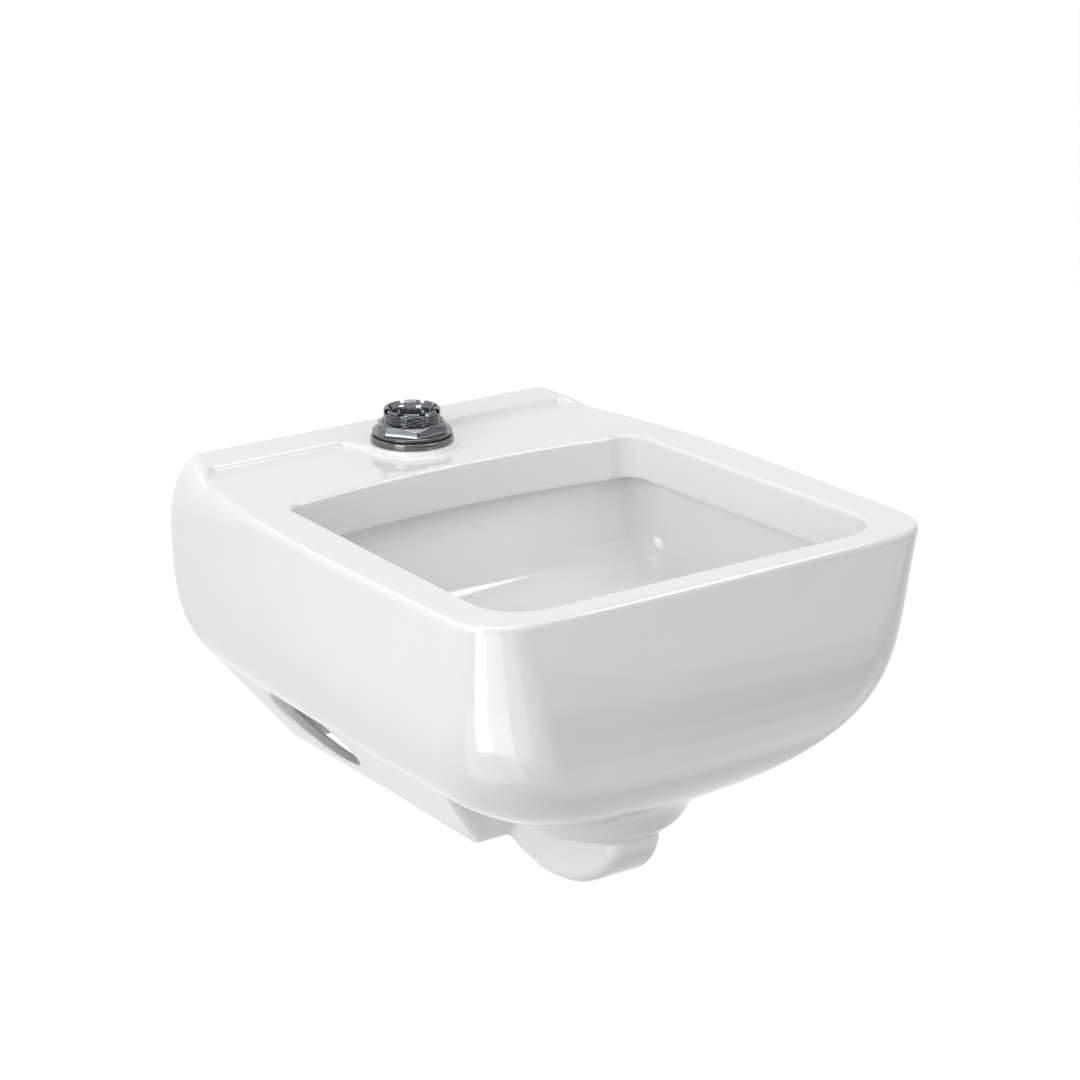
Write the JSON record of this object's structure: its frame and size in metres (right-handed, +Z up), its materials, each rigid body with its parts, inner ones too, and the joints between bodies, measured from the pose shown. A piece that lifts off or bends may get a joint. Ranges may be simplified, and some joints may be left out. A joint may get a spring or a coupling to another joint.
{
  "type": "clinical slop sink",
  "caption": "Wall-hung vitreous china clinical sink with a hollow flushing rim, a deep square bowl, a siphon trapway with rear outlet and a top inlet spud on its deck.",
  "frame": {"origin": "centre of the outlet bore on the wall plane", "axes": "+Z up, +X to the right seen from the front, the front of the sink towards -Y, the wall plane is y = 0"},
  "size_m": [0.463, 0.508, 0.3465],
  "materials": {
    "vitreous_china": "glossy white glaze",
    "chrome_brass": "polished chrome plate",
    "gasket_rubber": "matt",
    "ring_fibre": "matt"
  },
  "bodies": {
    "root": {"bowl_body": "vitreous_china", "flushing_rim": "vitreous_china", "trap_bend": "vitreous_china", "trap_riser": "vitreous_china", "jet_channel": "vitreous_china", "spud_tube": "chrome_brass", "spud_gasket": "gasket_rubber", "chrome_ring": "chrome_brass", "friction_ring": "ring_fibre", "spud_locknut": "chrome_brass"}
  },
  "joints": []
}
